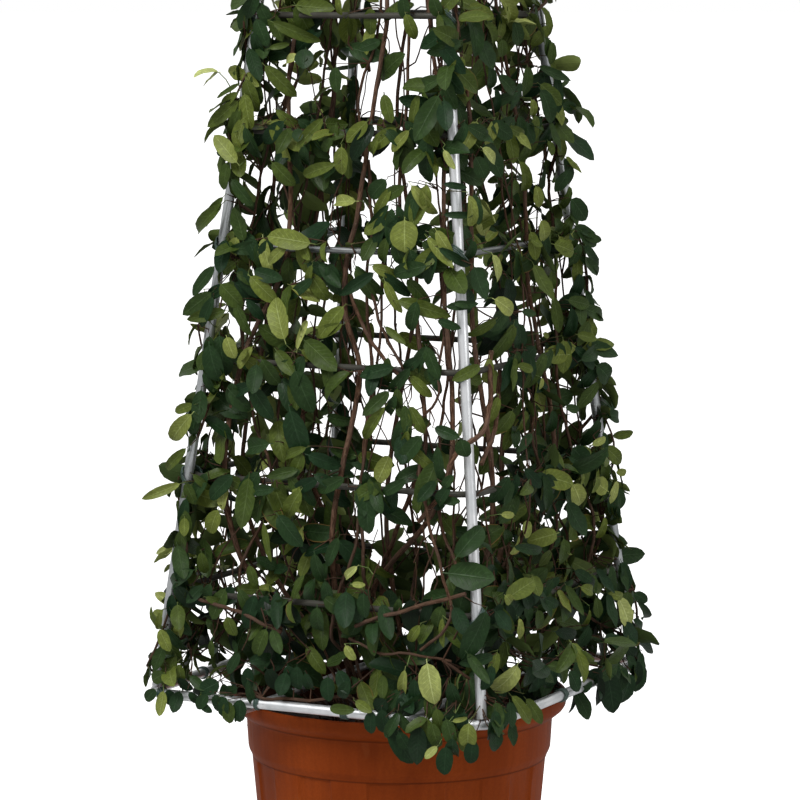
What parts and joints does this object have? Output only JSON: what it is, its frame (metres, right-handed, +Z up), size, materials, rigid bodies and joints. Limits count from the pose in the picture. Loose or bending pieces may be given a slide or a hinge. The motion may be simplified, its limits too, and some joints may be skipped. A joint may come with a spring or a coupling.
{
  "type": "potted star jasmine",
  "caption": "Potted star jasmine: an evergreen climber with woody stems and leathery opposite leaves, tied up a tapering square frame of bright tube that stands on a terracotta-coloured pot",
  "frame": {"origin": "middle of the pot's flat base, on the ground", "axes": "+Z up; the frame's front corner points to -Y, turned 18 degrees towards +X"},
  "size_m": [0.6333, 0.6261, 2.1812],
  "materials": {
    "terracotta_plastic": "satin",
    "soil": "matte",
    "bright_tube": "satin",
    "tie_plastic": "satin",
    "bark": "matte",
    "leaf": "satin"
  },
  "bodies": {
    "root": {"pot": "terracotta_plastic", "soil": "soil", "cross_bar_left": "bright_tube", "cross_bar_right": "bright_tube", "base_ring": "bright_tube", "upright_left": "bright_tube", "upright_front": "bright_tube", "upright_right": "bright_tube", "upright_back": "bright_tube", "hoop_01": "bright_tube", "hoop_02": "bright_tube", "hoop_03": "bright_tube", "hoop_04": "bright_tube", "hoop_05": "bright_tube", "hoop_06": "bright_tube", "hoop_07": "bright_tube", "hoop_08": "bright_tube", "hoop_09": "bright_tube", "hoop_10": "bright_tube", "hoop_11": "bright_tube", "finial": "bright_tube", "tie_front_01": "tie_plastic", "tie_front_03": "tie_plastic", "tie_front_04": "tie_plastic", "tie_front_06": "tie_plastic", "tie_front_08": "tie_plastic", "tie_left_02": "tie_plastic", "tie_left_04": "tie_plastic", "tie_left_06": "tie_plastic", "tie_right_02": "tie_plastic", "tie_right_03": "tie_plastic", "tie_right_05": "tie_plastic", "tie_back_01": "tie_plastic", "tie_back_04": "tie_plastic", "tie_back_07": "tie_plastic", "stem_front_left": "bark", "stem_front": "bark", "stem_front_middle": "bark", "stem_right_front": "bark", "stem_right": "bark", "stem_back_right": "bark", "stem_back": "bark", "stem_back_left": "bark", "stem_left_back": "bark", "stem_left": "bark", "shoot_left_low": "leaf", "shoot_left_mid": "leaf", "shoot_left_high": "leaf", "shoot_front_hanging": "leaf", "shoot_front_low": "leaf", "shoot_front_high": "leaf", "shoot_middle": "leaf", "shoot_right_low": "leaf", "shoot_right_mid": "leaf", "shoot_right_high": "leaf", "shoot_back_right": "leaf", "shoot_back_left": "leaf", "shoot_back": "leaf", "shoot_top_left": "leaf", "shoot_top_right": "leaf"}
  },
  "joints": []
}
